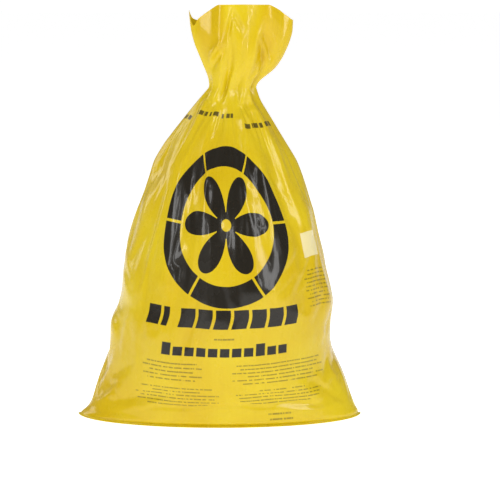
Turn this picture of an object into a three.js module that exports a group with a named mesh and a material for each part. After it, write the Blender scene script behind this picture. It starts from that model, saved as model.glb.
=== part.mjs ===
// A filled waste bag of soft yellow film, standing upright with its neck gathered shut.
// Units are millimetres, +Z is up and the viewer of the printed side looks along +Y.
// The origin is on the floor, midway between the two tips of the bottom seal.
//
// The bag is one piece: a film tube, 635 mm wide when it is flat and 889 mm long, sealed across
// its bottom end. Filled, it bellies out above the seal, narrows to the gathered neck and flares
// again into an open tuft, whose mouth is the cut end of the tube.

import * as THREE from 'three';
import { LoftGeometry } from 'three/addons/geometries/LoftGeometry.js';
import { mergeVertices } from 'three/addons/utils/BufferGeometryUtils.js';

// Foot of the bag, at the bottom seal
const SEAL_SPAN = 556; // tip to tip, across the two ears
const SEAL_FRONT = 150; // the seal's middle, ahead of the origin
const EAR_LINE = 45; // the ear tips, ahead of the origin
const FOOT_BACK = 125; // the floor patch, behind the origin
const FIN_WIDTH = 8; // film beyond the weld
const FIN_THICKNESS = 2.5;

// Body
const FOOT_WIDTH = 524; // just above the ears
const FOOT_LIFT = 11; // height at which the body has that width
const BELLY_DEPTH = 344; // front to back, at the fullest height
const NECK_HEIGHT = 637;
const NECK_WIDTH = 92;
const NECK_DEPTH = 72;
const NECK_SHIFT = 25; // the neck stands this far to the right of the origin

// Tuft above the neck
const TUFT_HEIGHT = 160;
const TUFT_WIDTH = 202;
const TUFT_DEPTH = 84;
const TUFT_SHIFT = 42; // and its mouth this far
const RIM_DROP = 45; // from the top of the cut edge down to its deepest notch
const MOUTH_DEPTH = 84; // open height inside the tuft
const MOUTH_WALL = 4; // creased film, which is thicker here than flat film

// Folds of the gathered film, and the bulges of the waste behind it
const FOLD_REACH = 467; // how far below the neck the folds run out
const LOW_FOLD = 3; // deepest fold of the lowest ring, then of each ring above it
const BELLY_FOLD = 7;
const WAIST_FOLD = 11;
const SHOULDER_FOLD = 15;
const NECK_FOLD = 17;
const TUFT_FOLD = 13;
const RIM_FOLD = 13;
const BULGE = 3; // how far the waste pushes the film to and fro

const COLUMNS = 112; // points around each section, in four equal quarters

// Shape of the body between foot and neck. up is the share of the height between them. wide is the
// share of the way from the neck's width to the foot's, front and back are the same for the depth
// ahead of the origin and behind it, up to the belly's, and lean is the share of the neck's shift.
const BODY = [
    { up: 0.000, wide: 1.000, front: 0.840, back: 0.640, lean: 0.24 },
    { up: 0.045, wide: 0.953, front: 0.870, back: 0.820, lean: 0.22 },
    { up: 0.090, wide: 0.917, front: 0.900, back: 0.900, lean: 0.14 },
    { up: 0.155, wide: 0.847, front: 0.950, back: 0.965, lean: 0.05 },
    { up: 0.215, wide: 0.796, front: 0.985, back: 0.990, lean: 0.02 },
    { up: 0.340, wide: 0.752, front: 1.000, back: 1.000, lean: 0.63 },
    { up: 0.430, wide: 0.713, front: 0.975, back: 0.970, lean: 0.46 },
    { up: 0.525, wide: 0.660, front: 0.900, back: 0.900, lean: 0.48 },
    { up: 0.620, wide: 0.593, front: 0.806, back: 0.800, lean: 0.52 },
    { up: 0.710, wide: 0.491, front: 0.640, back: 0.630, lean: 0.42 },
    { up: 0.775, wide: 0.431, front: 0.490, back: 0.480, lean: 0.34 },
    { up: 0.835, wide: 0.333, front: 0.338, back: 0.330, lean: 0.44 },
    { up: 0.900, wide: 0.210, front: 0.180, back: 0.175, lean: 0.60 },
    { up: 0.960, wide: 0.074, front: 0.055, back: 0.055, lean: 0.72 },
    { up: 1.000, wide: 0.000, front: 0.000, back: 0.000, lean: 1.00 },
];

// Shape of the tuft. up is the share of its height. wide, deep and lean are shares of the way from
// the neck's width, depth and shift to the mouth's.
const TUFT = [
    { up: 0.00, wide: 0.00, deep: 0.00, lean: 0.00 },
    { up: 0.09, wide: 0.06, deep: 0.10, lean: 0.25 },
    { up: 0.27, wide: 0.40, deep: 0.55, lean: 0.75 },
    { up: 0.46, wide: 0.66, deep: 0.85, lean: 0.95 },
    { up: 0.65, wide: 0.85, deep: 1.00, lean: 1.00 },
    { up: 0.82, wide: 1.00, deep: 1.00, lean: 1.00 },
    { up: 1.00, wide: 0.95, deep: 0.90, lean: 1.00 },
];

// Rings of folds on the body. up is the share of the folds' reach, and deep the deepest fold of the
// ring. Each pair is a place on the way round, from the middle of the front to the right, and the
// share of that depth by which the film lies in there: 0 is a crest, and 1 the deepest valley.
const BODY_FOLDS = [
    { up: 0.00, deep: 0, round: [[0.00, 0]] },
    { up: 0.15, deep: LOW_FOLD, round: [[0.02, 0.5], [0.09, 0], [0.15, 1], [0.20, 0], [0.30, 0.7], [0.45, 0],
        [0.60, 0.7], [0.75, 0], [0.80, 0.8], [0.86, 0], [0.93, 0.5], [0.97, 0]] },
    { up: 0.36, deep: BELLY_FOLD, round: [[0.02, 0.7], [0.09, 0], [0.14, 1], [0.18, 0], [0.22, 0.6],
        [0.25, 0], [0.31, 0.9], [0.38, 0], [0.45, 0.9], [0.52, 0], [0.60, 0.9], [0.68, 0], [0.75, 0.1],
        [0.84, 0.7], [0.89, 0], [0.93, 0.6], [0.97, 0]] },
    { up: 0.68, deep: WAIST_FOLD, round: [[0.01, 0.8], [0.04, 0.3], [0.096, 0], [0.135, 1], [0.17, 0],
        [0.21, 0.7], [0.25, 0], [0.30, 0.8], [0.36, 0], [0.43, 0.9], [0.50, 0], [0.57, 0.9], [0.64, 0],
        [0.70, 0.7], [0.75, 0], [0.82, 0.7], [0.89, 0], [0.925, 1], [0.963, 0]] },
    { up: 0.87, deep: SHOULDER_FOLD, round: [[0.03, 0.2], [0.075, 0], [0.12, 0.8], [0.155, 0], [0.21, 0.6],
        [0.25, 0], [0.30, 0.7], [0.36, 0], [0.43, 0.8], [0.50, 0], [0.56, 0.8], [0.63, 0], [0.70, 0.7],
        [0.75, 0], [0.80, 0.5], [0.85, 0], [0.90, 0.4], [0.935, 0.1], [0.97, 1]] },
    { up: 1.00, deep: NECK_FOLD, round: [[0.00, 0.5], [0.04, 0.8], [0.085, 0.1], [0.14, 0], [0.19, 0.8],
        [0.23, 0.2], [0.27, 0], [0.33, 0.9], [0.38, 0], [0.42, 0.2], [0.46, 0.9], [0.50, 0.2], [0.54, 0],
        [0.58, 0.8], [0.62, 0.1], [0.66, 0], [0.70, 0.9], [0.75, 0.1], [0.79, 0.5], [0.83, 0], [0.90, 0.1],
        [0.945, 1], [0.97, 0.3]] },
];

// The same on the tuft, where up is the share of its height.
const TUFT_FOLDS = [
    { ...BODY_FOLDS.at(-1), up: 0.00 },
    { up: 0.35, deep: TUFT_FOLD, round: [[0.00, 0.5], [0.03, 0.2], [0.07, 0], [0.11, 1], [0.16, 0.5],
        [0.21, 0.1], [0.25, 0], [0.30, 0.9], [0.36, 0], [0.42, 0.8], [0.50, 0], [0.57, 1], [0.63, 0],
        [0.70, 0.7], [0.75, 0], [0.83, 0.3], [0.90, 0], [0.945, 1], [0.97, 0.5]] },
    { up: 1.00, deep: RIM_FOLD, round: [[0.02, 0.8], [0.08, 0.2], [0.12, 0], [0.19, 0.7], [0.25, 0],
        [0.32, 0.9], [0.40, 0], [0.47, 0.8], [0.55, 0.1], [0.62, 1], [0.69, 0.1], [0.75, 0], [0.80, 0.4],
        [0.87, 0.7], [0.91, 0], [0.96, 0.5]] },
];

// The cut edge: places on the way round, and the share of its drop by which it lies lower there. At
// the left it dips into a notch, behind which a short tip of the film stands up.
const RIM = [[0.00, 0], [0.12, 0], [0.17, 0.25], [0.245, 0.73], [0.30, 0.55], [0.40, 0.35], [0.55, 0.35],
    [0.62, 0.5], [0.68, 0.75], [0.715, 0.7], [0.745, 0.4], [0.765, 0.65], [0.785, 1], [0.805, 0.62],
    [0.86, 0.24], [0.90, 0]];

const mix = THREE.MathUtils.lerp;
const ramp = THREE.MathUtils.smoothstep;

// The value of one column of a shape table at a share of the height.
function shapeAt(table, column, up) {
    const next = table.findIndex((row) => row.up >= up);
    if (next <= 0) return table[Math.max(next, 0)][column];
    const [low, high] = [table[next - 1], table[next]];
    return mix(low[column], high[column], (up - low.up) / (high.up - low.up));
}

// The value at a place on the way round, smooth between the listed places.
function roundAt(pairs, place) {
    const next = pairs.findIndex(([at]) => at > place);
    const [high, low] = [pairs.at(next < 0 ? 0 : next), pairs.at(next < 0 ? -1 : next - 1)];
    const span = (high[0] - low[0] + 1) % 1 || 1;
    return mix(low[1], high[1], ramp(((place - low[0] + 1) % 1) / span, 0, 1));
}

// How far in the folds lie at a height and a place on the way round.
function foldAt(rings, up, place) {
    const depth = (ring) => ring.deep * roundAt(ring.round, place);
    const next = rings.findIndex((ring) => ring.up >= up);
    if (next <= 0) return depth(rings[0]);
    const [low, high] = [rings[next - 1], rings[next]];
    return mix(depth(low), depth(high), ramp(up, low.up, high.up));
}

// The bulges of loose waste: broad swellings and hollows without a pattern, fading out at both ends.
function bulgeAt(up, place) {
    const turn = 2 * Math.PI * place;
    const waves = Math.sin(3 * turn + 12 * up + 0.6) + Math.sin(5 * turn - 20 * up + 2.1)
        + 0.7 * Math.sin(8 * turn + 27 * up) + 0.6 * Math.sin(2 * turn - 34 * up + 1.3);
    return BULGE * (waves / 2) * ramp(up, 0.05, 0.25) * (1 - ramp(up, 0.7, 0.95));
}

// A quarter of a section's outline, as evenly spaced points.
function quarter(start, { width, front, back, point }) {
    const curve = new THREE.Curve();
    curve.getPoint = (t) => {
        const angle = start + (t * Math.PI) / 2;
        const [c, s] = [Math.cos(angle), Math.sin(angle)];
        return new THREE.Vector2((width / 2) * c, s < 0 ? front * s : back * s ** point);
    };
    return curve.getSpacedPoints(COLUMNS / 4).slice(0, -1);
}

// One closed section, as points running from the middle of the front to the right and on round. A
// point of 1 gives a plain oval, and a higher one flattens the back of it towards its two ends,
// which become tips. inward is how far in the surface lies at a place on the way round.
function section({ x, y = 0, width, front, back, point = 1, inward = () => 0, height }) {
    const size = { width, front, back, point };
    const outline = [-1, 0, 1, 2].flatMap((turn) => quarter((turn * Math.PI) / 2, size));
    return outline.map((spot, i) => {
        const place = i / COLUMNS;
        const along = outline[(i + 1) % COLUMNS].clone().sub(outline.at(i - 1)).normalize();
        const depth = inward(place);
        return new THREE.Vector3(x + spot.x - along.y * depth, y + spot.y + along.x * depth, height(place));
    });
}

// The seal lies on the floor, bowed to the front, and its ears are the tube's two corners.
function sealSection(height, inset) {
    return section({
        x: 0,
        y: -EAR_LINE,
        width: SEAL_SPAN - 2 * inset,
        front: SEAL_FRONT - EAR_LINE - inset,
        back: FOOT_BACK + EAR_LINE,
        point: 2,
        height: () => height,
    });
}

// The body leaves the seal as a pointed outline and rounds off within its lowest part.
function bodySection(z) {
    const up = (z - FOOT_LIFT) / (NECK_HEIGHT - FOOT_LIFT);
    const share = (column) => shapeAt(BODY, column, up);
    const folded = 1 - (NECK_HEIGHT - z) / FOLD_REACH;
    const settled = ramp(z, 0, NECK_HEIGHT * 0.16);
    const setBack = mix(-EAR_LINE, 0, settled);
    return section({
        x: NECK_SHIFT * share('lean'),
        y: setBack,
        width: mix(NECK_WIDTH, FOOT_WIDTH, share('wide')),
        front: mix(NECK_DEPTH, BELLY_DEPTH, share('front')) / 2 + setBack,
        back: mix(NECK_DEPTH, BELLY_DEPTH, share('back')) / 2 - setBack,
        point: mix(2, 1, settled),
        inward: (place) => foldAt(BODY_FOLDS, folded, place) - bulgeAt(up, place),
        height: () => z,
    });
}

function tuftSection(up, wall = 0) {
    const share = (column) => shapeAt(TUFT, column, up);
    const depth = mix(NECK_DEPTH, TUFT_DEPTH, share('deep')) / 2;
    return section({
        x: mix(NECK_SHIFT, TUFT_SHIFT, share('lean')),
        width: mix(NECK_WIDTH, TUFT_WIDTH, share('wide')),
        front: depth,
        back: depth,
        inward: (place) => foldAt(TUFT_FOLDS, up, place) + wall,
        height: (place) => NECK_HEIGHT + up * (TUFT_HEIGHT - RIM_DROP * roundAt(RIM, place)),
    });
}

// The mouth goes down inside the tuft at one wall's distance, to a flat floor. The floor's second
// section has all its points in the middle, and so closes it.
function mouthFloor(up) {
    const height = NECK_HEIGHT + TUFT_HEIGHT - MOUTH_DEPTH;
    const edge = tuftSection(up, MOUTH_WALL).map((point) => point.setZ(height));
    const middle = new THREE.Vector3();
    edge.forEach((point) => middle.addScaledVector(point, 1 / COLUMNS));
    return [edge, edge.map(() => middle.clone())];
}

// The same surface with shared corners, and without the flat faces that a closed point leaves.
function joined(geometry) {
    const plain = new THREE.BufferGeometry().copy(geometry);
    plain.deleteAttribute('normal');
    plain.deleteAttribute('uv');
    const merged = mergeVertices(plain, 1e-3);
    const corners = [...merged.index.array];
    const kept = [];
    for (let i = 0; i < corners.length; i += 3) {
        const face = corners.slice(i, i + 3);
        if (new Set(face).size === 3) kept.push(...face);
    }
    merged.setIndex(kept);
    merged.computeVertexNormals();
    return merged;
}

function bagGeometry() {
    const heights = [0.035, 0.06, 0.09, 0.125, 0.155, 0.185, 0.215, 0.25, 0.285, 0.32, 0.355, 0.39, 0.43,
        0.47, 0.51, 0.55, 0.59, 0.63, 0.67, 0.71, 0.745, 0.775, 0.805, 0.835, 0.87, 0.9, 0.93, 0.96, 0.98];
    const flares = TUFT.map((row) => row.up);
    const floorShare = 1 - MOUTH_DEPTH / TUFT_HEIGHT;
    const inner = flares.filter((up) => up > floorShare + 0.05).reverse();
    return joined(new LoftGeometry([
        sealSection(0, 0),
        sealSection(FIN_THICKNESS, 0),
        sealSection(FIN_THICKNESS + 1, FIN_WIDTH),
        bodySection(FOOT_LIFT),
        ...heights.map((share) => bodySection(share * NECK_HEIGHT)),
        ...flares.map((up) => tuftSection(up)),
        ...inner.map((up) => tuftSection(up, MOUTH_WALL)),
        ...mouthFloor(floorShare),
    ], { capStart: true }));
}

const film = new THREE.MeshStandardMaterial({ color: 0xe3bf12, roughness: 0.32, metalness: 0 });

const wasteBag = new THREE.Mesh(bagGeometry(), film);
wasteBag.name = 'waste_bag';

const part = new THREE.Group();
part.add(wasteBag);

export default part;
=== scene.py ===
"""A filled waste bag of yellow film, standing on its bottom seal with its neck gathered shut."""

import math

import bmesh
import bpy
import numpy as np
from bpy.props import FloatProperty, FloatVectorProperty, IntProperty, PointerProperty
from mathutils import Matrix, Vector


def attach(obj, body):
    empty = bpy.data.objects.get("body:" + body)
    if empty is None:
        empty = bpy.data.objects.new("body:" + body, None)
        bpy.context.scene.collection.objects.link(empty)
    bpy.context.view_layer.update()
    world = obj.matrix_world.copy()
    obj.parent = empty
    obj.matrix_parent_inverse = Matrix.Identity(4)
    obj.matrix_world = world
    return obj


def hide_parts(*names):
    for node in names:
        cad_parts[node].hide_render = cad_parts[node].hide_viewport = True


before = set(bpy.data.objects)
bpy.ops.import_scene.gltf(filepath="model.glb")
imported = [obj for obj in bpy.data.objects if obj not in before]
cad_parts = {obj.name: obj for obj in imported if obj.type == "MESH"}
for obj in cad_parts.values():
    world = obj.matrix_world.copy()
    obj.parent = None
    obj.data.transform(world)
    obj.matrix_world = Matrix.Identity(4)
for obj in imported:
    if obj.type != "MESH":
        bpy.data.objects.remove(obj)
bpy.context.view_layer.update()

bl_info = {
    "name": "Gathered Film Waste Bag",
    "version": (1, 0, 0),
    "blender": (4, 5, 0),
    "location": "3D View > Sidebar > Film Bag",
    "description": "Builds a filled film bag with a printed front and a studio stage for it",
    "category": "Add Mesh",
}

# Outline of the filled bag at each height: its left and right ends, its front and back in the
# middle, how far ahead the two ends lie, and how sharply the back half runs out into them.
BODY = np.array((
    (0.000, -0.278, 0.278, -0.150, 0.122, -0.045, 2.00),
    (0.006, -0.266, 0.270, -0.151, 0.124, -0.045, 1.95),
    (0.011, -0.256, 0.268, -0.150, 0.126, -0.044, 1.90),
    (0.039, -0.247, 0.257, -0.154, 0.147, -0.034, 1.60),
    (0.067, -0.240, 0.248, -0.158, 0.158, -0.020, 1.30),
    (0.108, -0.228, 0.230, -0.165, 0.167, -0.002, 1.00),
    (0.146, -0.217, 0.218, -0.170, 0.171, 0.000, 1.00),
    (0.185, -0.210, 0.216, -0.172, 0.172, 0.000, 1.00),
    (0.224, -0.193, 0.224, -0.172, 0.172, 0.000, 1.00),
    (0.280, -0.189, 0.212, -0.169, 0.168, 0.000, 1.00),
    (0.340, -0.177, 0.201, -0.158, 0.158, 0.000, 1.00),
    (0.399, -0.161, 0.187, -0.146, 0.145, 0.000, 1.00),
    (0.455, -0.142, 0.163, -0.123, 0.122, 0.000, 1.00),
    (0.496, -0.131, 0.148, -0.103, 0.101, 0.000, 1.00),
    (0.534, -0.107, 0.129, -0.082, 0.081, 0.000, 1.00),
    (0.574, -0.076, 0.106, -0.060, 0.060, 0.000, 1.00),
    (0.612, -0.044, 0.080, -0.043, 0.043, 0.000, 1.00),
    (0.637, -0.022, 0.071, -0.036, 0.036, 0.000, 1.00),
))

# Outline of the tuft by its share of the height from the neck to the cut edge.
TUFT = np.array((
    (0.00, -0.022, 0.071, -0.036, 0.036),
    (0.09, -0.022, 0.077, -0.037, 0.037),
    (0.27, -0.030, 0.107, -0.040, 0.040),
    (0.46, -0.040, 0.123, -0.042, 0.041),
    (0.65, -0.051, 0.134, -0.042, 0.042),
    (0.82, -0.057, 0.141, -0.040, 0.042),
    (1.00, -0.059, 0.142, -0.036, 0.040),
))

# Crests and valleys of the gathered film: at each height, how many millimetres the film lies
# inside its outline at each share of the way round, from the front's middle to the right.
BODY_FOLDS = (
    (0.170, ((0.00, 0), (0.25, 0), (0.50, 0), (0.75, 0))),
    (0.240, ((0.02, 1.5), (0.09, 0), (0.15, 3), (0.20, 0), (0.30, 2), (0.45, 0), (0.60, 2), (0.75, 0),
             (0.80, 2.5), (0.86, 0), (0.93, 1.5), (0.97, 0))),
    (0.337, ((0.02, 5), (0.09, 0), (0.14, 7), (0.18, 0), (0.22, 4), (0.25, 0), (0.31, 6), (0.38, 0),
             (0.45, 6), (0.52, 0), (0.60, 6), (0.68, 0), (0.75, 1), (0.84, 5), (0.89, 0), (0.93, 4),
             (0.97, 0))),
    (0.487, ((0.01, 9), (0.04, 3), (0.096, 0), (0.135, 11), (0.17, 0), (0.21, 8), (0.25, 0), (0.30, 9),
             (0.36, 0), (0.43, 10), (0.50, 0), (0.57, 10), (0.64, 0), (0.70, 8), (0.75, 0), (0.82, 8),
             (0.89, 0), (0.925, 11), (0.963, 0))),
    (0.577, ((0.03, 3), (0.075, 0), (0.12, 12), (0.155, 0), (0.21, 9), (0.25, 0), (0.30, 10), (0.36, 0),
             (0.43, 12), (0.50, 0), (0.56, 12), (0.63, 0), (0.70, 10), (0.75, 0), (0.80, 8), (0.85, 0),
             (0.90, 6), (0.935, 1), (0.97, 15))),
    (0.637, ((0.00, 9), (0.04, 13), (0.085, 1), (0.14, 0), (0.19, 13), (0.23, 3), (0.27, 0), (0.33, 15),
             (0.38, 0), (0.42, 3), (0.46, 16), (0.50, 4), (0.54, 0), (0.58, 14), (0.62, 1), (0.66, 0),
             (0.70, 15), (0.75, 1), (0.79, 9), (0.83, 0), (0.90, 1), (0.945, 17), (0.97, 5))),
)

# The same for the tuft, at shares of its height.
TUFT_FOLDS = (
    (0.00, BODY_FOLDS[-1][1]),
    (0.35, ((0.00, 7), (0.03, 2), (0.07, 0), (0.11, 13), (0.16, 7), (0.21, 1), (0.25, 0), (0.30, 12),
            (0.36, 0), (0.42, 10), (0.50, 0), (0.57, 13), (0.63, 0), (0.70, 9), (0.75, 0), (0.83, 4),
            (0.90, 0), (0.945, 13), (0.97, 7))),
    (1.00, ((0.02, 10), (0.08, 2), (0.12, 0), (0.19, 9), (0.25, 0), (0.32, 12), (0.40, 0), (0.47, 11),
            (0.55, 1), (0.62, 13), (0.69, 1), (0.75, 0), (0.80, 5), (0.87, 9), (0.91, 0), (0.96, 6))),
)

# How far the loose waste swells the film: in waves, and evenly all round.
BULGE = 0.003
SWELL = 0.003

# Height under which the film doesn't swell, and how far the wall's lower end is lifted off the floor.
FOOT_LIFT = 0.011
WALL_LIFT = 0.003

# Share of the way round over which each crest or valley, and each corner of the cut edge, is rounded.
FOLD_ROUNDING = 0.012
RIM_ROUNDING = 0.006

# The weld at the bottom: its outer and its inner edge, each written as an outline in BODY is, and the
# heights of the fin's edge, of the upper ply and of the lower ply, which puff apart a little in it.
# Then how many samples of the wall it pinches flat, and how many the film has across the floor.
SEAL_EDGE = (-0.278, 0.278, -0.150, 0.122, -0.045, 2.0)
WELD_EDGE = (-0.272, 0.272, -0.142, 0.122, -0.045, 2.0)
FIN_HEIGHT = 0.0012
UPPER_PLY = 0.0026
LOWER_PLY = 0.0004
PLY_PUFF = 0.0006
PINCHED_SAMPLES = 8
FLOOR_SAMPLES = 40

# Creases that cross the film: place across the flat film and height on the bag, angle in degrees,
# length and width in metres, and depth in millimetres, where a ridge has a negative one.
CREASES = (
    (-0.275, 0.285, -20, 0.120, 0.010, 5), (-0.260, 0.265, -35, 0.100, 0.012, -3),
    (-0.290, 0.200, -15, 0.130, 0.010, 6), (-0.270, 0.175, -40, 0.090, 0.014, -3),
    (0.150, 0.315, 35, 0.120, 0.007, 4), (0.185, 0.290, 40, 0.110, 0.006, 3.5),
    (0.130, 0.275, 30, 0.090, 0.007, 3), (0.225, 0.335, 50, 0.120, 0.008, 5),
    (0.260, 0.185, 65, 0.100, 0.009, 5), (0.215, 0.220, 55, 0.100, 0.008, 3),
    (0.240, 0.105, 60, 0.060, 0.008, 3), (-0.200, 0.385, 80, 0.160, 0.012, 4),
    (-0.150, 0.490, 20, 0.100, 0.008, 4), (0.165, 0.465, -55, 0.140, 0.008, 4),
    (0.100, 0.585, -50, 0.120, 0.007, 5), (-0.060, 0.545, 70, 0.140, 0.008, 3),
    (0.050, 0.485, 85, 0.160, 0.007, 3), (-0.215, 0.105, 30, 0.080, 0.014, 3),
    (0.450, 0.385, 70, 0.200, 0.010, 6), (0.520, 0.285, 40, 0.160, 0.010, 6),
    (-0.520, 0.335, -50, 0.180, 0.010, 6), (-0.430, 0.435, 75, 0.180, 0.010, 6),
    (0.600, 0.465, 80, 0.180, 0.009, 6), (-0.580, 0.235, 20, 0.160, 0.012, 6),
    (-0.180, 0.613, -8, 0.240, 0.007, 8), (0.125, 0.604, 3, 0.240, 0.007, 7),
    (-0.066, 0.758, 54, 0.080, 0.007, 7), (-0.024, 0.768, -33, 0.080, 0.007, 7),
    (-0.160, 0.711, 19, 0.140, 0.008, -8), (-0.160, 0.695, 19, 0.130, 0.008, 8),
    (0.185, 0.682, -28, 0.200, 0.008, 9), (0.180, 0.717, -25, 0.140, 0.008, 8),
)

# Height of the cut edge around the tuft, from the middle of the front to the right, the back, the
# left and the front again.
RIM = np.array((
    (0.000, 0.797), (0.120, 0.797), (0.170, 0.786), (0.245, 0.764), (0.300, 0.772), (0.400, 0.781),
    (0.550, 0.781), (0.620, 0.775), (0.680, 0.763), (0.715, 0.768), (0.747, 0.789), (0.765, 0.768),
    (0.785, 0.752), (0.805, 0.769), (0.860, 0.786), (0.900, 0.797), (1.000, 0.797),
))

# The printed side, in metres on the flat film: across from the middle of its front, and up from the
# fin's edge. The rosette has its middle and its radius.
ROSETTE = (0.0, 0.412, 0.158)
# A pale cream rectangle on the side: left, right, low and high.
PALE_RECTANGLE = (0.196, 0.250, 0.338, 0.386)

# Rows of plain blocks: left end, pitch, width, low, high, how many, and the blocks that have a width
# and a top of their own.
BLOCK_ROWS = (
    (-0.168, 0.0364, 0.0300, 0.215, 0.252, 9, {1: (0.0130, 0.252)}),
    (-0.118, 0.0235, 0.0185, 0.160, 0.177, 11, {0: (0.0185, 0.184), 8: (0.0185, 0.184)}),
)

# Blocks of small print: left, right, low, high and the number of rows.
SMALL_PRINT = (
    (-0.160, -0.035, 0.107, 0.148, 5), (-0.179, -0.003, 0.055, 0.097, 6), (0.023, 0.228, 0.101, 0.146, 6),
    (0.025, 0.218, 0.058, 0.092, 5), (-0.022, 0.033, 0.190, 0.200, 1), (0.185, 0.262, 0.240, 0.316, 10),
    (0.081, 0.159, 0.020, 0.042, 2),
)

# Rows of dashes on the shoulder: left, right, low, high, and where the pattern of dashes starts.
SHOULDER_ROWS = (
    (-0.215, 0.036, 0.625, 0.634, 2.0), (-0.300, -0.235, 0.609, 0.618, 5.0),
    (0.090, 0.270, 0.602, 0.612, 9.0),
)

# Where the tuft's film lies double and darker, partly painted shade on its facets: left, right, low, high
# and by how much.
DOUBLED_FILM_AND_PAINTED_SHADE = ((-0.250, -0.100, 0.760, 0.900, 0.6), (0.110, 0.200, 0.740, 0.850, 0.4))
DOUBLED_AND_SHADED_SOFTNESS = 0.04
# Width of the hem painted paler, as light shining through the fin.
LIT_HEM_WIDTH = 0.009
INK_SOFTNESS = 0.0008

# Lamps: name, place, width, height and share of the key power. All of them aim at the bag's middle.
LAMPS = (
    ("key", (-1.5, -1.9, 1.5), 0.7, 1.5, 1.0),
    ("fill", (1.7, -1.7, 1.2), 0.6, 1.5, 0.9),
    ("top", (0.1, 0.2, 2.6), 2.0, 1.6, 0.6),
    ("rim", (-1.9, 1.0, 1.3), 0.8, 1.5, 0.4),
    ("left strip", (-1.0, -2.6, 1.2), 0.10, 1.4, 0.22),
    ("right strip", (1.3, -2.3, 1.5), 0.10, 1.4, 0.22),
)
LAMP_AIM = (0.0, 0.0, 0.38)
FLOOR_REACH = 12

# The camera looks a little down on the bag, which stands left of the middle of the frame and above
# it, by so many of the frame's pixels.
EYE_TILT = math.radians(10)
EYE_DISTANCE = 3.4
EYE_AIM = (0, 0, 0.41)
LENS = 125.6
SENSOR_WIDTH = 36
FRAME_PIXELS = 500
PIXELS_LEFT = 30.5
PIXELS_UP = 47


def ease(value, low, high):
    """0 below low, 1 above high and a smooth rise between them."""
    t = np.clip((value - low) / (high - low), 0, 1)
    return t * t * (3 - 2 * t)


def smooth_table(table, spread):
    """The table's columns over its first one, sampled finely, with their corners rounded off."""
    x = np.linspace(table[0, 0], table[-1, 0], 800)
    step = x[1] - x[0]
    reach = max(1, int(3 * spread / step))
    kernel = np.exp(-0.5 * (np.arange(-reach, reach + 1) * step / spread) ** 2)
    kernel /= kernel.sum()
    columns = []
    for column in table.T[1:]:
        y = np.interp(x, table[:, 0], column)
        padded = np.concatenate((2 * y[0] - y[reach:0:-1], y, 2 * y[-1] - y[-2:-reach - 2:-1]))
        columns.append(np.convolve(padded, kernel, mode="valid"))
    return x, np.array(columns)


def oval(left, right, front, back, side, point, shares):
    """Points at these shares of the way round each section, and their outward directions."""
    turn = np.linspace(-math.pi / 2, 1.5 * math.pi, 721)
    centre, half = (left + right) / 2, (right - left) / 2
    x = centre[:, None] + half[:, None] * np.cos(turn)
    s = np.sin(turn)
    bulge = np.where(s < 0, -(side - front)[:, None] * np.abs(s),
                     (back - side)[:, None] * np.maximum(s, 0) ** point[:, None])
    y = side[:, None] + bulge
    place = np.empty((len(left), len(shares), 2))
    for row in range(len(left)):
        ends = (0, 180, 360, 540, 720)
        walked = np.concatenate(((0.0,), np.cumsum(np.hypot(np.diff(x[row]), np.diff(y[row])))))
        even = np.empty(721)
        for quarter, (a, b) in enumerate(zip(ends[:-1], ends[1:])):
            even[a:b + 1] = (quarter + (walked[a:b + 1] - walked[a]) / (walked[b] - walked[a])) / 4
        place[row, :, 0] = np.interp(shares, even, x[row])
        place[row, :, 1] = np.interp(shares, even, y[row])
    along = np.roll(place, -1, axis=1) - np.roll(place, 1, axis=1)
    along /= np.maximum(np.linalg.norm(along, axis=2, keepdims=True), 1e-9)
    return place, np.stack((along[..., 1], -along[..., 0]), axis=2)


def fold_profile(table, shares):
    """How far in the film lies at each share of the way round, from a few crests and valleys."""
    around = np.array(table, dtype=float)
    places = np.concatenate((around[:, 0] - 1, around[:, 0], around[:, 0] + 1))
    depths = np.tile(around[:, 1], 3) / 1000
    nearby = (shares[:, None] + np.linspace(-FOLD_ROUNDING, FOLD_ROUNDING, 13)[None]) % 1
    weights = 1 - np.abs(np.linspace(-1, 1, 13)) * 0.8
    return (np.interp(nearby, places, depths) * weights).sum(axis=1) / weights.sum()


def fold_depth(stations, heights, shares):
    """How far the film is drawn in at each height, blended between the stations' profiles."""
    levels = np.array([level for level, _ in stations])
    profiles = np.array([fold_profile(table, shares) for _, table in stations])
    at = np.interp(heights, levels, np.arange(len(levels)))
    low = np.minimum(at.astype(int), len(levels) - 2)
    t = (at - low)[:, None]
    t = t * t * (3 - 2 * t)
    return profiles[low] * (1 - t) + profiles[low + 1] * t


def bulge(heights, shares):
    """How far the loose waste swells the film out, without a pattern and fading at both ends."""
    up = (heights[:, None] - FOOT_LIFT) / (BODY[-1, 0] - FOOT_LIFT)
    turn = 2 * math.pi * shares[None]
    waves = (np.sin(3 * turn + 12 * up + 0.6) + np.sin(5 * turn - 20 * up + 2.1)
             + 0.7 * np.sin(8 * turn + 27 * up) + 0.6 * np.sin(2 * turn - 34 * up + 1.3))
    return (BULGE * waves / 2 + SWELL) * ease(up, 0.05, 0.25) * (1 - ease(up, 0.70, 0.95))


def crease_depth(across, up):
    """Single creases and dents that cross the film."""
    depth = np.zeros(np.broadcast(across, up).shape)
    for u, v, angle, length, width, inward in CREASES:
        turn = math.radians(angle)
        along = (across - u) * math.cos(turn) + (up - v) * math.sin(turn)
        off = (up - v) * math.cos(turn) - (across - u) * math.sin(turn)
        reach = np.clip(1 - (along / (length / 2)) ** 2, 0, 1)
        depth += inward / 1000 * reach * np.exp(-np.abs(off / width) ** 1.5)
    return depth


def film_across(size, shares):
    """Where a share of the way round lies on the flat film: 0 is the middle of its front."""
    return (np.where(shares <= 0.5, shares, shares - 1) * 2 * size.flat_width)[None]


def flat_edge(outline, shares):
    """Points at these shares of the way round one outline of the weld."""
    return oval(*(np.array((v,)) for v in outline), shares)[0][0]


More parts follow.
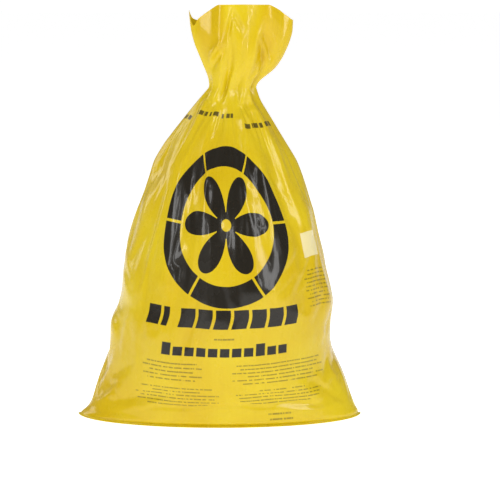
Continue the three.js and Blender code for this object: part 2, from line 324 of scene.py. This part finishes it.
def body_wall(size, shares):
    """The film's standing wall from the floor to the neck, sampled finely."""
    z, (left, right, front, back, side, point) = smooth_table(BODY, 0.006)
    place, outward = oval(left, right, front, back, side, point, shares)
    settled = ease(z, 0.03, 0.09)[:, None]
    depth = fold_depth(BODY_FOLDS, z, shares) - bulge(z, shares)
    depth += crease_depth(film_across(size, shares), z[:, None]) * settled
    place -= outward * depth[..., None]
    wall = np.concatenate((place, np.repeat(z[:, None, None], len(shares), axis=1)), axis=2)
    wall[:, :, 2] += WALL_LIFT * (1 - ease(z, 0, 0.02))[:, None]
    return wall


def body_rows(size, shares):
    """Every column of film from the fin's edge to the neck, as rows of equally spaced points."""
    wall = body_wall(size, shares)
    seal = flat_edge(SEAL_EDGE, shares)
    inner = flat_edge(WELD_EDGE, shares)
    count = len(shares)
    rows = np.empty((size.body_rows + 1, count, 3))
    spread = np.linspace(0, 1, size.body_rows - 2)
    for i in range(count):
        front_side = shares[i] <= 0.25 or shares[i] >= 0.75
        twin = i if front_side else (count // 2 - i) % count
        edge = np.array((*seal[twin], FIN_HEIGHT))
        weld = np.array((*inner[twin], UPPER_PLY if front_side else LOWER_PLY))
        if front_side:
            path = np.concatenate((weld[None], wall[PINCHED_SAMPLES:, i]))
        else:
            floor = np.linspace(weld, np.array((*wall[0, i, :2], LOWER_PLY)), FLOOR_SAMPLES)
            path = np.concatenate((floor, wall[PINCHED_SAMPLES:, i]))
        walked = np.concatenate(((0.0,), np.cumsum(np.linalg.norm(np.diff(path, axis=0), axis=1))))
        even = walked / walked[-1]
        rows[0, i] = edge
        rows[1, i] = edge + (weld - edge) * 0.3 + (0, 0, PLY_PUFF if front_side else -PLY_PUFF)
        rows[2, i] = edge + (weld - edge) * 0.7
        for axis in range(3):
            rows[3:, i, axis] = np.interp(spread, even, path[:, axis])
    return rows


def tuft_rows(size, shares):
    """The rows from the neck to the cut edge."""
    up, (left, right, front, back) = smooth_table(TUFT, 0.04)
    at = np.linspace(0, 1, size.tuft_rows + 1)
    outline = [np.interp(at, up, column) for column in (left, right, front, back)]
    place, outward = oval(*outline, np.zeros_like(at), np.ones_like(at), shares)
    neck = BODY[-1, 0]
    nearby = (shares[:, None] + np.linspace(-RIM_ROUNDING, RIM_ROUNDING, 5)[None]) % 1
    rim = np.interp(nearby, RIM[:, 0], RIM[:, 1]).mean(axis=1)
    z = neck + (rim - neck)[None] * at[:, None]
    depth = fold_depth(TUFT_FOLDS, at, shares) + crease_depth(film_across(size, shares), z)
    place -= outward * depth[..., None]
    return np.concatenate((place, z[..., None]), axis=2)


def film_mesh(size):
    """One sheet of film, wrapped into the bag's tube, with the flat film's metres as its UV map."""
    columns = size.columns
    shares = np.arange(columns) / columns
    rows = np.concatenate((body_rows(size, shares), tuft_rows(size, shares)[1:]))
    last = len(rows) - 1
    up = np.concatenate(((0.0,), np.cumsum(np.linalg.norm(np.diff(rows[:, 0], axis=0), axis=1))))
    bm = bmesh.new()
    bmesh.ops.create_grid(bm, x_segments=columns, y_segments=last, size=0.5, calc_uvs=True)
    flat = bm.loops.layers.uv.verify()
    spots = {}
    for vert in bm.verts:
        column, row = round((vert.co.x + 0.5) * columns), round((vert.co.y + 0.5) * last)
        spots[vert] = rows[row, (column + columns // 2) % columns]
        for loop in vert.link_loops:
            loop[flat].uv = ((column / columns - 0.5) * 2 * size.flat_width, up[row])
    for vert, spot in spots.items():
        vert.co = spot
    bmesh.ops.remove_doubles(bm, verts=bm.verts, dist=2e-5)
    bmesh.ops.recalc_face_normals(bm, faces=bm.faces)
    for face in bm.faces:
        face.smooth = True
    mesh = bpy.data.meshes.new("bag_film")
    bm.to_mesh(mesh)
    bm.free()
    mesh.uv_layers[0].name = "Film"
    return mesh


def new_object(name, data):
    """An object with this mesh, lamp or camera, linked into the scene."""
    obj = bpy.data.objects.new(name, data)
    bpy.context.scene.collection.objects.link(obj)
    return obj


def film_height(mesh):
    """How far up the flat film each vertex lies, from its UV map."""
    up = np.zeros(len(mesh.vertices))
    corners = np.empty(len(mesh.loops), dtype=np.int32)
    mesh.loops.foreach_get("vertex_index", corners)
    uvs = np.empty(2 * len(mesh.loops))
    mesh.uv_layers["Film"].data.foreach_get("uv", uvs)
    up[corners] = uvs[1::2]
    return up


def coordinates(mesh):
    """The mesh's vertices as rows of x, y and z."""
    flat = np.empty(3 * len(mesh.vertices))
    mesh.vertices.foreach_get("co", flat)
    return flat.reshape(-1, 3)


def put_weights(obj, name, weights):
    """A vertex group with these weights, in steps of a hundredth."""
    group = obj.vertex_groups.new(name=name)
    steps = np.round(weights, 2)
    for weight in np.unique(steps):
        if weight > 0:
            group.add([int(i) for i in np.flatnonzero(steps == weight)], float(weight), "REPLACE")
    return group.name


def waste_fill(size):
    """The loose waste that the film lies on, only while the film settles."""
    columns, levels = 72, 46
    shares = np.arange(columns) / columns
    heights = np.linspace(0.012, 0.600, levels)
    z, table = smooth_table(BODY, 0.006)
    rows = [np.interp(heights, z, column) for column in table]
    place, outward = oval(*rows, shares)
    a = 2 * math.pi * shares[None]
    h = heights[:, None]
    lumps = (np.sin(3 * a + 19 * h + 0.6) + np.sin(5 * a - 31 * h + 2.1) + 0.7 * np.sin(8 * a + 43 * h)
             + 0.6 * np.sin(2 * a - 53 * h + 1.3))
    gap = size.fill_gap + size.lump_height * (1 - lumps / 3.3)
    gap = gap + fold_depth(BODY_FOLDS, heights, shares) - bulge(heights, shares)
    place -= outward * gap[..., None]
    bm = bmesh.new()
    bmesh.ops.create_grid(bm, x_segments=columns, y_segments=levels - 1, size=0.5)
    for vert in bm.verts:
        column, row = round((vert.co.x + 0.5) * columns), round((vert.co.y + 0.5) * (levels - 1))
        vert.co = (*place[row, column % columns], heights[row])
    bmesh.ops.remove_doubles(bm, verts=bm.verts, dist=1e-5)
    bmesh.ops.holes_fill(bm, edges=bm.edges, sides=0)
    bmesh.ops.recalc_face_normals(bm, faces=bm.faces)
    mesh = bpy.data.meshes.new("waste_fill")
    bm.to_mesh(mesh)
    bm.free()
    return new_object("waste_fill", mesh)


def held_share(height, up):
    """How firmly each point is held: at the seal, in the neck and along the cut edge."""
    neck = BODY[-1, 0]
    gathered = ease(height, neck - 0.045, neck - 0.015) * (1 - ease(height, neck + 0.01, neck + 0.05))
    held = np.maximum(1 - ease(height, 0.012, 0.05), 0.9 * gathered)
    held = np.maximum(held, 0.6 * ease(height, neck - 0.02, neck + 0.03))
    held = np.maximum(held, 0.9 * ease(up, up.max() - 0.02, up.max()))
    return np.maximum(held, 0.08)


def slack_share(height, size):
    """By what share each point's film outgrows its resting form, least at the seal and the neck."""
    neck = BODY[-1, 0]
    return size.slack * (0.25 + 0.75 * ease(height, 0.10, 0.30)) * (1 - ease(height, neck - 0.05, neck))


def film_cloth(obj, size, held, slack):
    """The cloth modifier of thin, slack polyethylene film."""
    cloth = obj.modifiers.new("Cloth", "CLOTH")
    film = cloth.settings
    film.quality = 6
    film.mass = 0.05
    film.air_damping = 4
    film.tension_stiffness = 40
    film.compression_stiffness = 30
    film.shear_stiffness = 12
    film.bending_stiffness = size.film_stiffness
    film.tension_damping = film.compression_damping = film.shear_damping = 8
    film.bending_damping = 1
    film.vertex_group_mass = put_weights(obj, "held", held)
    film.pin_stiffness = size.hold
    film.vertex_group_shrink = put_weights(obj, "slack", slack / size.slack)
    film.shrink_min = 0
    film.shrink_max = -size.slack
    film.use_pressure = True
    film.uniform_pressure_force = size.pressure
    cloth.collision_settings.use_collision = True
    cloth.collision_settings.distance_min = 0.002
    cloth.collision_settings.collision_quality = 2
    cloth.collision_settings.use_self_collision = False
    cloth.point_cache.frame_start, cloth.point_cache.frame_end = 1, size.frames
    return cloth


def settle_film(obj, size):
    """Lets the slack film buckle and settle over the waste, and keeps the result in its mesh."""
    scene = bpy.context.scene
    mesh = obj.data
    before = coordinates(mesh)
    height = before[:, 2]
    fill = waste_fill(size)
    fill.modifiers.new("Collision", "COLLISION")
    fill.collision.thickness_outer = 0.002
    fill.collision.cloth_friction = 8
    cloth = film_cloth(obj, size, held_share(height, film_height(mesh)), slack_share(height, size))
    for number in range(1, size.frames + 1):
        scene.frame_set(number)
    settled = obj.evaluated_get(bpy.context.evaluated_depsgraph_get())
    after = coordinates(settled.to_mesh())
    settled.to_mesh_clear()
    obj.modifiers.remove(cloth)
    scene.frame_set(1)
    bpy.data.objects.remove(fill)
    obj.vertex_groups.clear()
    moved = after - before
    far = np.linalg.norm(moved, axis=1)
    moved *= np.minimum(1, size.reach / np.maximum(far, 1e-9))[:, None]
    after = before + moved
    after[:, 2] = np.maximum(after[:, 2], np.minimum(before[:, 2], LOWER_PLY))
    mesh.vertices.foreach_set("co", after.ravel())
    mesh.update()


class Shade:
    """Node arithmetic written as plain arithmetic."""

    def __init__(self, tree, socket):
        self.tree, self.socket = tree, socket

    def math(self, kind, *others, clamp=False):
        node = self.tree.nodes.new("ShaderNodeMath")
        node.operation, node.use_clamp = kind, clamp
        for place, value in zip(node.inputs, (self, *others)):
            if isinstance(value, Shade):
                self.tree.links.new(value.socket, place)
            else:
                place.default_value = value
        return Shade(self.tree, node.outputs[0])

    def __add__(self, other):
        return self.math("ADD", other)

    def __sub__(self, other):
        return self.math("SUBTRACT", other)

    def __mul__(self, other):
        return self.math("MULTIPLY", other)

    def magnitude(self):
        return self.math("ABSOLUTE")

    def lower(self, other):
        return self.math("MINIMUM", other)

    def higher(self, other):
        return self.math("MAXIMUM", other)

    def below(self, limit, soft):
        """1 under the limit and 0 over it, with an edge of this softness."""
        return ((self - limit) * (-1 / soft)).math("ADD", 0.5, clamp=True)


def new_material(name):
    """A material with its node tree and its surface node."""
    material = bpy.data.materials.new(name)
    material.use_nodes = True
    tree = material.node_tree
    return material, tree, tree.nodes["Principled BSDF"]


def noise(tree, vector, scale, detail=2, rough=0.5, distortion=0.0):
    """Cloudy variation between 0 and 1."""
    node = tree.nodes.new("ShaderNodeTexNoise")
    node.inputs["Scale"].default_value = scale
    node.inputs["Detail"].default_value = detail
    node.inputs["Roughness"].default_value = rough
    node.inputs["Distortion"].default_value = distortion
    tree.links.new(vector, node.inputs["Vector"])
    return Shade(tree, node.outputs["Fac"])


def blend_colour(tree, factor, low, high):
    """The first colour where the factor is 0 and the second where it is 1."""
    node = tree.nodes.new("ShaderNodeMix")
    node.data_type = "RGBA"
    tree.links.new(factor.socket, node.inputs["Factor"])
    for place, value in ((node.inputs[6], low), (node.inputs[7], high)):
        if isinstance(value, bpy.types.NodeSocket):
            tree.links.new(value, place)
        else:
            place.default_value = (*value, 1)
    return node.outputs[2]


def slab(u, v, left, right, low, high, soft=INK_SOFTNESS):
    """An upright rectangle in the flat film's metres, with an edge of this softness."""
    across = (u - (left + right) / 2).magnitude().below((right - left) / 2, soft)
    along = (v - (low + high) / 2).magnitude().below((high - low) / 2, soft)
    return across * along


def rosette(u, v, x, y, radius):
    """Six petals inside a broken ring, on the flat film."""
    p, q = u - x, v - y
    far = (p * p + q * q).math("SQRT")
    turn = q.math("ARCTAN2", p)
    petal = ((turn * 3).math("COSINE").magnitude().math("POWER", 0.65) * (radius * 0.66))
    petals = (far - petal).below(0, INK_SOFTNESS)
    hub = far.below(radius * 0.16, INK_SOFTNESS)
    ring = (far - radius * 0.86).magnitude().below(radius * 0.13, INK_SOFTNESS)
    gaps = ((turn * 3).math("SINE").magnitude() * far - radius * 0.05).below(0, INK_SOFTNESS)
    eye = far.below(radius * 0.075, INK_SOFTNESS)
    return (petals.higher(hub) - eye).higher(ring - gaps).math("MAXIMUM", 0, clamp=True)


def scatter(tree, x, y, scale=1.0):
    """A number between 0 and 1 that wanders with x and y."""
    spot = tree.nodes.new("ShaderNodeCombineXYZ")
    tree.links.new(x.socket, spot.inputs[0])
    tree.links.new(y.socket, spot.inputs[1])
    return noise(tree, spot.outputs[0], scale, 1)


def small_print(tree, u, v, left, right, low, high, count, seed):
    """Centred rows of fine dashes with ragged ends, too small to be anything but a texture."""
    level = (v - low) * (count / (high - low))
    row = level.math("FLOOR") * 7.13 + seed
    bar = (level.math("FRACT") - 0.5).magnitude().below(0.17, 0.12)
    reach = (scatter(tree, row, row * 0.37) * 1.6 + 0.05).lower(1.0) * ((right - left) / 2)
    inside = ((u - (left + right) / 2).magnitude() - reach).below(0, INK_SOFTNESS)
    broken = (scatter(tree, u * 240, row) * -1).below(-0.42, 0.10)
    return slab(u, v, left, right, low, high) * bar * broken * inside


def shoulder_row(tree, u, v, left, right, low, high, seed):
    """A broken row of longer dashes, half lost in the folds below the neck."""
    chunk = (scatter(tree, u * 60 + seed, u * 7 + seed) * -1).below(-0.45, 0.04)
    return slab(u, v, left, right, low, high) * chunk


def printed_ink(tree, u, v):
    """How dark the ink is: the rosette, the rows of blocks, the small print and the shoulder's dashes."""
    dark = rosette(u, v, *ROSETTE)
    for start, pitch, width, low, high, count, odd in BLOCK_ROWS:
        for i in range(count):
            left = start + i * pitch
            wide, top = odd.get(i, (width, high))
            dark = dark.higher(slab(u, v, left, left + wide, low, top))
    for left, right, low, high, count in SMALL_PRINT:
        dark = dark.higher(small_print(tree, u, v, left, right, low, high, count, 10 * high) * 0.55)
    for left, right, low, high, seed in SHOULDER_ROWS:
        dark = dark.higher(shoulder_row(tree, u, v, left, right, low, high, seed) * 0.85)
    return dark


def film_tone(tree, u, v, flat, spot, drawn):
    """0 where the film is deep yellow and 1 where light comes through it."""
    cloud = noise(tree, spot, 5.5, 3, 0.55)
    fleck = noise(tree, flat, 260, 2, 0.5)
    tone = (cloud - 0.5) * 2.0 + (fleck - 0.5) * 0.2 + (drawn - 0.5) * 0.3
    # The hem along the fin's edge is painted paler, as light shining through the thin fin.
    tone = tone + v.below(LIT_HEM_WIDTH, 0.001) * 0.5
    # The tuft's darker patches: painted shade on its facets, where the film also lies double.
    for left, right, low, high, darker in DOUBLED_FILM_AND_PAINTED_SHADE:
        tone = tone - slab(u, v, left, right, low, high, DOUBLED_AND_SHADED_SOFTNESS) * darker
    return tone.math("ADD", 0.42, clamp=True)


def film_relief(tree, surface, flat, spot, drawn):
    """The film's gloss, uneven like its skin, and its fine ripples and drawn lines."""
    gloss = (noise(tree, spot, 30, 3, 0.6) - 0.5) * 0.14 + 0.27
    tree.links.new(gloss.socket, surface.inputs["Roughness"])
    relief = noise(tree, spot, 42, 4, 0.6, 0.4) * 0.6 + noise(tree, flat, 330, 2, 0.5) * 0.12 + drawn * 0.25
    bump = tree.nodes.new("ShaderNodeBump")
    bump.inputs["Strength"].default_value = 0.35
    bump.inputs["Distance"].default_value = 0.0015
    tree.links.new(relief.socket, bump.inputs["Height"])
    tree.links.new(bump.outputs[0], surface.inputs["Normal"])


def let_light_through(tree, surface, colour, share):
    """Lets a share of the light through the film, in the film's own colour."""
    glow = tree.nodes.new("ShaderNodeBsdfTranslucent")
    tree.links.new(colour, glow.inputs["Color"])
    mix = tree.nodes.new("ShaderNodeMixShader")
    mix.inputs[0].default_value = share
    tree.links.new(surface.outputs[0], mix.inputs[1])
    tree.links.new(glow.outputs[0], mix.inputs[2])
    tree.links.new(mix.outputs[0], tree.nodes["Material Output"].inputs[0])


def film_material(size):
    """Glossy, slightly translucent yellow film with its print and a pale cream rectangle on its side."""
    material, tree, surface = new_material("printed_film")
    uv = tree.nodes.new("ShaderNodeUVMap")
    uv.uv_map = "Film"
    flat = uv.outputs[0]
    parts = tree.nodes.new("ShaderNodeSeparateXYZ")
    tree.links.new(flat, parts.inputs[0])
    u, v = Shade(tree, parts.outputs[0]), Shade(tree, parts.outputs[1])
    spot = tree.nodes.new("ShaderNodeTexCoord").outputs["Object"]
    drawn = scatter(tree, u * 160, v * 2.5)

    tone = film_tone(tree, u, v, flat, spot, drawn)
    yellow = blend_colour(tree, tone, tuple(size.deep_yellow_and_painted_shade), tuple(size.pale_yellow))
    marked = blend_colour(tree, slab(u, v, *PALE_RECTANGLE) * 0.9, yellow, tuple(size.pale_rectangle_colour))
    inked = blend_colour(tree, printed_ink(tree, u, v), marked, tuple(size.print_colour))
    tree.links.new(inked, surface.inputs["Base Color"])
    surface.inputs["IOR"].default_value = 1.50
    surface.inputs["Specular IOR Level"].default_value = 0.28
    surface.inputs["Coat Weight"].default_value = 0.35
    surface.inputs["Coat Roughness"].default_value = 0.06
    film_relief(tree, surface, flat, spot, drawn)
    let_light_through(tree, surface, inked, size.see_through)
    return material


def stage_material(name, colour, rough, glow):
    """Plain matt paint that glows a little, as a lit studio floor does."""
    material, tree, surface = new_material(name)
    spot = tree.nodes.new("ShaderNodeTexCoord").outputs["Object"]
    grain = noise(tree, spot, 40, 2)
    shade = blend_colour(tree, grain, tuple(c * 0.985 for c in colour), colour)
    tree.links.new(shade, surface.inputs["Base Color"])
    surface.inputs["Roughness"].default_value = rough
    surface.inputs["Emission Color"].default_value = (1, 1, 1, 1)
    surface.inputs["Emission Strength"].default_value = glow
    return material


class FilmBagSizes(bpy.types.PropertyGroup):
    """Sizes and colours of the film bag."""
    flat_width: FloatProperty(name="Flat Width", description="Width of the empty bag laid flat",
                              default=0.635, unit="LENGTH")
    columns: IntProperty(name="Columns", description="Mesh columns around the tube", default=160)
    body_rows: IntProperty(name="Body Rows", description="Mesh rows from seal to neck", default=112)
    tuft_rows: IntProperty(name="Tuft Rows", description="Mesh rows above the neck", default=28)
    slack: FloatProperty(name="Slack", description="Share by which the film outgrows its resting form",
                         default=0.18, subtype="FACTOR")
    film_stiffness: FloatProperty(name="Film Stiffness", description="Resistance to sharp creases",
                                  default=0.008)
    pressure: FloatProperty(name="Pressure", description="Push of the loose waste on the film", default=1.5)
    fill_gap: FloatProperty(name="Fill Gap", description="Room between film and waste", default=0.003,
                            unit="LENGTH")
    lump_height: FloatProperty(name="Lump Height", description="Unevenness of the waste", default=0.008,
                               unit="LENGTH")
    hold: FloatProperty(name="Hold", description="How firmly the film keeps to its resting form",
                        default=0.15)
    frames: IntProperty(name="Settling Steps", description="Steps for which the film settles", default=36)
    reach: FloatProperty(name="Reach", description="The farthest that a point may settle", default=0.030,
                         unit="LENGTH")
    # Deep yellow is also the colour of the painted shade on the tuft's darker facets.
    deep_yellow_and_painted_shade: FloatVectorProperty(name="Deep Yellow", description="Film where it lies double",
                                     subtype="COLOR", default=(0.64, 0.44, 0.001))
    pale_yellow: FloatVectorProperty(name="Pale Yellow", description="Film where light comes through",
                                     subtype="COLOR", default=(0.75, 0.60, 0.015))
    print_colour: FloatVectorProperty(name="Print", description="Ink of the printed side",
                                      subtype="COLOR", default=(0.014, 0.011, 0.006))
    # Colour of the pale cream rectangle on the side.
    pale_rectangle_colour: FloatVectorProperty(name="Panel", description="Blank pale panel of the printed side",
                                      subtype="COLOR", default=(0.88, 0.80, 0.45))
    see_through: FloatProperty(name="See Through", description="Share of light that the film lets through",
                               default=0.26, subtype="FACTOR")


class StageSizes(bpy.types.PropertyGroup):
    """Light and floor around the bag."""
    key_power: FloatProperty(name="Key Power", description="Light from the upper left", default=26.0,
                             unit="POWER")
    ambient: FloatProperty(name="Ambient", description="Light of the studio's pale walls", default=0.28)
    floor_glow: FloatProperty(name="Floor Glow", description="Light of the lit floor itself", default=0.74)
    floor_colour: FloatVectorProperty(name="Floor", description="Colour of floor and backdrop",
                                      subtype="COLOR", default=(0.92, 0.92, 0.92))


class FILMBAG_OT_bag(bpy.types.Operator):
    """Make the printed film bag"""
    bl_idname = "film_bag.bag"
    bl_label = "Film Bag"

    def execute(self, context):
        size = context.scene.film_bag_sizes
        bag = new_object("bag_film", film_mesh(size))
        settle_film(bag, size)
        bag.data.materials.append(film_material(size))
        smooth = bag.modifiers.new("Smooth Film", "SUBSURF")
        smooth.levels = smooth.render_levels = 1
        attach(bag, "root")
        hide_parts("waste_bag")
        return {"FINISHED"}


def area_light(name, place, width, height, power):
    """A rectangular lamp that aims at the bag's middle."""
    lamp = bpy.data.lights.new(name, "AREA")
    lamp.shape, lamp.size, lamp.size_y = "RECTANGLE", width, height
    lamp.energy = power
    obj = new_object(name, lamp)
    obj.location = place
    obj.rotation_euler = (Vector(LAMP_AIM) - Vector(place)).to_track_quat("-Z", "Y").to_euler()


def studio_world(ambient):
    """Dim walls that light the bag softly, and a white sheet that only the camera sees."""
    world = bpy.data.worlds.new("studio")
    world.use_nodes = True
    tree = world.node_tree
    walls = tree.nodes["Background"]
    walls.inputs[0].default_value, walls.inputs[1].default_value = (1, 1, 1, 1), ambient
    sheet = tree.nodes.new("ShaderNodeBackground")
    sheet.inputs[0].default_value, sheet.inputs[1].default_value = (1, 1, 1, 1), 1.05
    seen = tree.nodes.new("ShaderNodeLightPath")
    mix = tree.nodes.new("ShaderNodeMixShader")
    tree.links.new(seen.outputs["Is Camera Ray"], mix.inputs[0])
    tree.links.new(walls.outputs[0], mix.inputs[1])
    tree.links.new(sheet.outputs[0], mix.inputs[2])
    tree.links.new(mix.outputs[0], tree.nodes["World Output"].inputs[0])
    return world


def pale_floor(stage):
    """The floor that the bag stands on, far wider than the frame."""
    bm = bmesh.new()
    bmesh.ops.create_grid(bm, x_segments=1, y_segments=1, size=FLOOR_REACH)
    mesh = bpy.data.meshes.new("floor")
    bm.to_mesh(mesh)
    bm.free()
    floor = new_object("floor", mesh)
    paint = stage_material("pale_floor", tuple(stage.floor_colour), 0.8, stage.floor_glow)
    floor.data.materials.append(paint)


def photographer_eye():
    """The camera, level from side to side and tilted a little down."""
    camera = bpy.data.cameras.new("camera")
    camera.lens, camera.sensor_width = LENS, SENSOR_WIDTH
    camera.shift_x, camera.shift_y = PIXELS_LEFT / FRAME_PIXELS, -PIXELS_UP / FRAME_PIXELS
    eye = new_object("camera", camera)
    eye.location = Vector(EYE_AIM) + EYE_DISTANCE * Vector((0, -math.cos(EYE_TILT), math.sin(EYE_TILT)))
    eye.rotation_euler = (math.pi / 2 - EYE_TILT, 0, 0)
    return eye


class FILMBAG_OT_stage(bpy.types.Operator):
    """Make the floor, the lights and the camera"""
    bl_idname = "film_bag.stage"
    bl_label = "Studio Stage"

    def execute(self, context):
        scene = context.scene
        stage = scene.film_bag_stage
        pale_floor(stage)
        for name, place, width, height, share in LAMPS:
            area_light(name, place, width, height, stage.key_power * share)
        scene.world = studio_world(stage.ambient)
        scene.view_settings.view_transform = "Standard"
        scene.camera = photographer_eye()
        return {"FINISHED"}


class FILMBAG_PT_panel(bpy.types.Panel):
    """Sizes, colours and the steps that build the bag"""
    bl_label = "Film Bag"
    bl_idname = "FILMBAG_PT_panel"
    bl_space_type = "VIEW_3D"
    bl_region_type = "UI"
    bl_category = "Film Bag"

    def draw(self, context):
        for group in (context.scene.film_bag_sizes, context.scene.film_bag_stage):
            for name in group.__annotations__:
                self.layout.prop(group, name)
        self.layout.operator(FILMBAG_OT_bag.bl_idname)
        self.layout.operator(FILMBAG_OT_stage.bl_idname)


CLASSES = (FilmBagSizes, StageSizes, FILMBAG_OT_bag, FILMBAG_OT_stage, FILMBAG_PT_panel)


def register():
    """Adds the classes and the sizes to Blender."""
    for cls in CLASSES:
        bpy.utils.register_class(cls)
    bpy.types.Scene.film_bag_sizes = PointerProperty(type=FilmBagSizes)
    bpy.types.Scene.film_bag_stage = PointerProperty(type=StageSizes)


def unregister():
    """Takes the classes and the sizes away again."""
    del bpy.types.Scene.film_bag_stage
    del bpy.types.Scene.film_bag_sizes
    for cls in reversed(CLASSES):
        bpy.utils.unregister_class(cls)


def main():
    """Builds the bag and its stage."""
    register()
    bpy.ops.film_bag.bag()
    bpy.ops.film_bag.stage()


if __name__ == "__main__":
    main()
